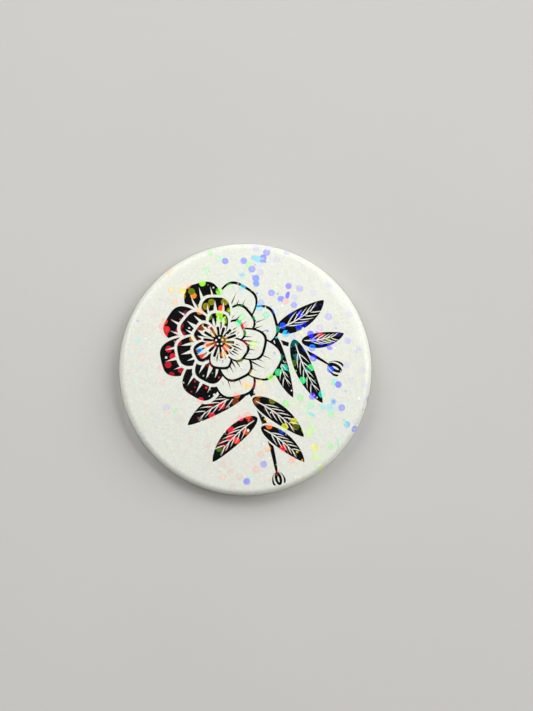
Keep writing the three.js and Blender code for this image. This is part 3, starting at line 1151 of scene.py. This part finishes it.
pieces = [
    finish_piece(clear_film, "clear_film", "clear_film"),
    finish_piece(holographic_film, "holographic_film", "holographic_film"),
    finish_piece(printed_paper, "printed_paper", "printed_paper"),
    finish_piece(front_shell, "tinplate", "front_shell"),
    finish_piece(back_plate(tinplate), "tinplate", "back_plate"),
]

flat, triangles, ink, mark, marks = print_mesh()
printed = inlay("printed_motif", flat, triangles[ink], INK_DEPTH, INK_THICKNESS, ink_material())
pieces.append(finish_piece(printed, "printed_paper"))
dots = mark >= 0
tints = mark_colours(ink[dots], mark[dots], marks)
foil = inlay(
    "holographic_dots", flat, triangles[dots], DOTS_DEPTH, DOTS_THICKNESS, dot_material(), tints
)
pieces.append(finish_piece(foil, "holographic_film"))
for piece in pieces:
    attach(piece, "root")

wire = finish_piece(pin_wire(wire_material()), "spring_wire", "pin_leg", "pin_arm")
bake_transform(wire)


# -------- stage, lights and camera

FLOOR_GREY = (0.50, 0.49, 0.47)
FLOOR_SHADES = ((0.3, (0.495, 0.485, 0.465)), (0.7, (0.505, 0.495, 0.475)))
FLOOR_HALF = 600
# Each light: name, place, width and height, and power in watts. All of them face the badge.
LIGHTS = (
    ("key", (600, 330, 615), (880, 880), 8.35),
    ("strip", (335, 257, 795), (600, 80), 1.0),
    ("fill", (-380, 410, 570), (640, 640), 4.8),
    ("under", (60, -80, -220), (260, 260), 0.9),
)
WORLD_LIGHT, WORLD_SEEN = 0.11, 0.62  # its strength as light, and as the camera sees it
WORLD_COLOUR = (1, 0.99, 0.97, 1)


def pale_floor():
    """A pale floor that is seen from above only, so that the badge's back shows from below."""
    made = new_material("pale_floor", FLOOR_GREY, 0.8)
    shade(made, "Base Color", ramp(made, noise(made, 40.0, detail=2), FLOOR_SHADES))
    from_below = add_node(made, "ShaderNodeNewGeometry").outputs["Backfacing"]
    shadow = add_node(made, "ShaderNodeLightPath").outputs["Is Shadow Ray"]
    either = add_node(made, "ShaderNodeMath", {0: from_below, 1: shadow}, operation="MAXIMUM")
    solid = shader_of(made).outputs[0]
    clear = add_node(made, "ShaderNodeBsdfTransparent").outputs[0]
    mixed = add_node(made, "ShaderNodeMixShader", {0: either.outputs[0], 1: solid, 2: clear})
    surface = made.node_tree.nodes["Material Output"].inputs["Surface"]
    made.node_tree.links.new(mixed.outputs[0], surface)
    half = FLOOR_HALF * MM
    square = [(-half, -half, 0), (half, -half, 0), (half, half, 0), (-half, half, 0)]
    mesh = bpy.data.meshes.new("floor")
    mesh.from_pydata(square, [], [(0, 1, 2, 3)])
    return place_mesh("floor", mesh, made)


def soft_light(name, place, size, power):
    """An area light of a width and a height, in millimetres and watts, that faces the badge."""
    lamp = bpy.data.lights.new(name, "AREA")
    lamp.shape = "RECTANGLE"
    lamp.size, lamp.size_y = size[0] * MM, size[1] * MM
    lamp.energy = power
    holder = bpy.data.objects.new(name, lamp)
    scene.collection.objects.link(holder)
    holder.location = Vector(place) * MM
    facing = Vector((0, 0, HEIGHT / 2)) - Vector(place)
    holder.rotation_euler = facing.to_track_quat("-Z", "Y").to_euler()


def studio_world():
    """An even grey that lights the badge softly and is seen as a pale backdrop."""
    world = bpy.data.worlds.new("studio")
    world.use_nodes = True
    inputs = {
        "Value": add_node(world, "ShaderNodeLightPath").outputs["Is Camera Ray"],
        "To Min": WORLD_LIGHT,
        "To Max": WORLD_SEEN,
    }
    brightness = add_node(world, "ShaderNodeMapRange", inputs).outputs["Result"]
    background = world.node_tree.nodes["Background"]
    background.inputs["Color"].default_value = WORLD_COLOUR
    world.node_tree.links.new(brightness, background.inputs["Strength"])
    return world


pale_floor()
for light in LIGHTS:
    soft_light(*light)
scene.world = studio_world()

# The camera looks down, leaning a little to the badge's lower left.
LENS = 50.0
SENSOR = 36.0
PICTURE_HEIGHT = 106.6  # of the plane through the badge's edge that the picture shows
EDGE_Z = 2.65
CAMERA_LEAN = math.radians(5.6)
LEAN_TOWARDS = math.atan2(-0.875, -0.483)
AIM = Vector((3.06, 1.95, EDGE_Z))


def photo_camera():
    """The camera, at the distance from which its lens shows PICTURE_HEIGHT."""
    distance = PICTURE_HEIGHT * LENS / SENSOR
    backward = Vector((*polar(LEAN_TOWARDS, math.sin(CAMERA_LEAN)), math.cos(CAMERA_LEAN)))
    right = Vector((0, 1, 0)).cross(backward).normalized()
    data = bpy.data.cameras.new("camera")
    data.lens = LENS
    data.sensor_width = SENSOR
    data.clip_start = MM
    data.clip_end = 5
    camera = bpy.data.objects.new("camera", data)
    camera.location = (AIM + backward * distance) * MM
    camera.rotation_mode = "QUATERNION"
    facing = Matrix((right, backward.cross(right), backward)).transposed()
    camera.rotation_quaternion = facing.to_quaternion()
    scene.collection.objects.link(camera)
    return camera


scene.camera = photo_camera()
scene.view_settings.view_transform = "Standard"
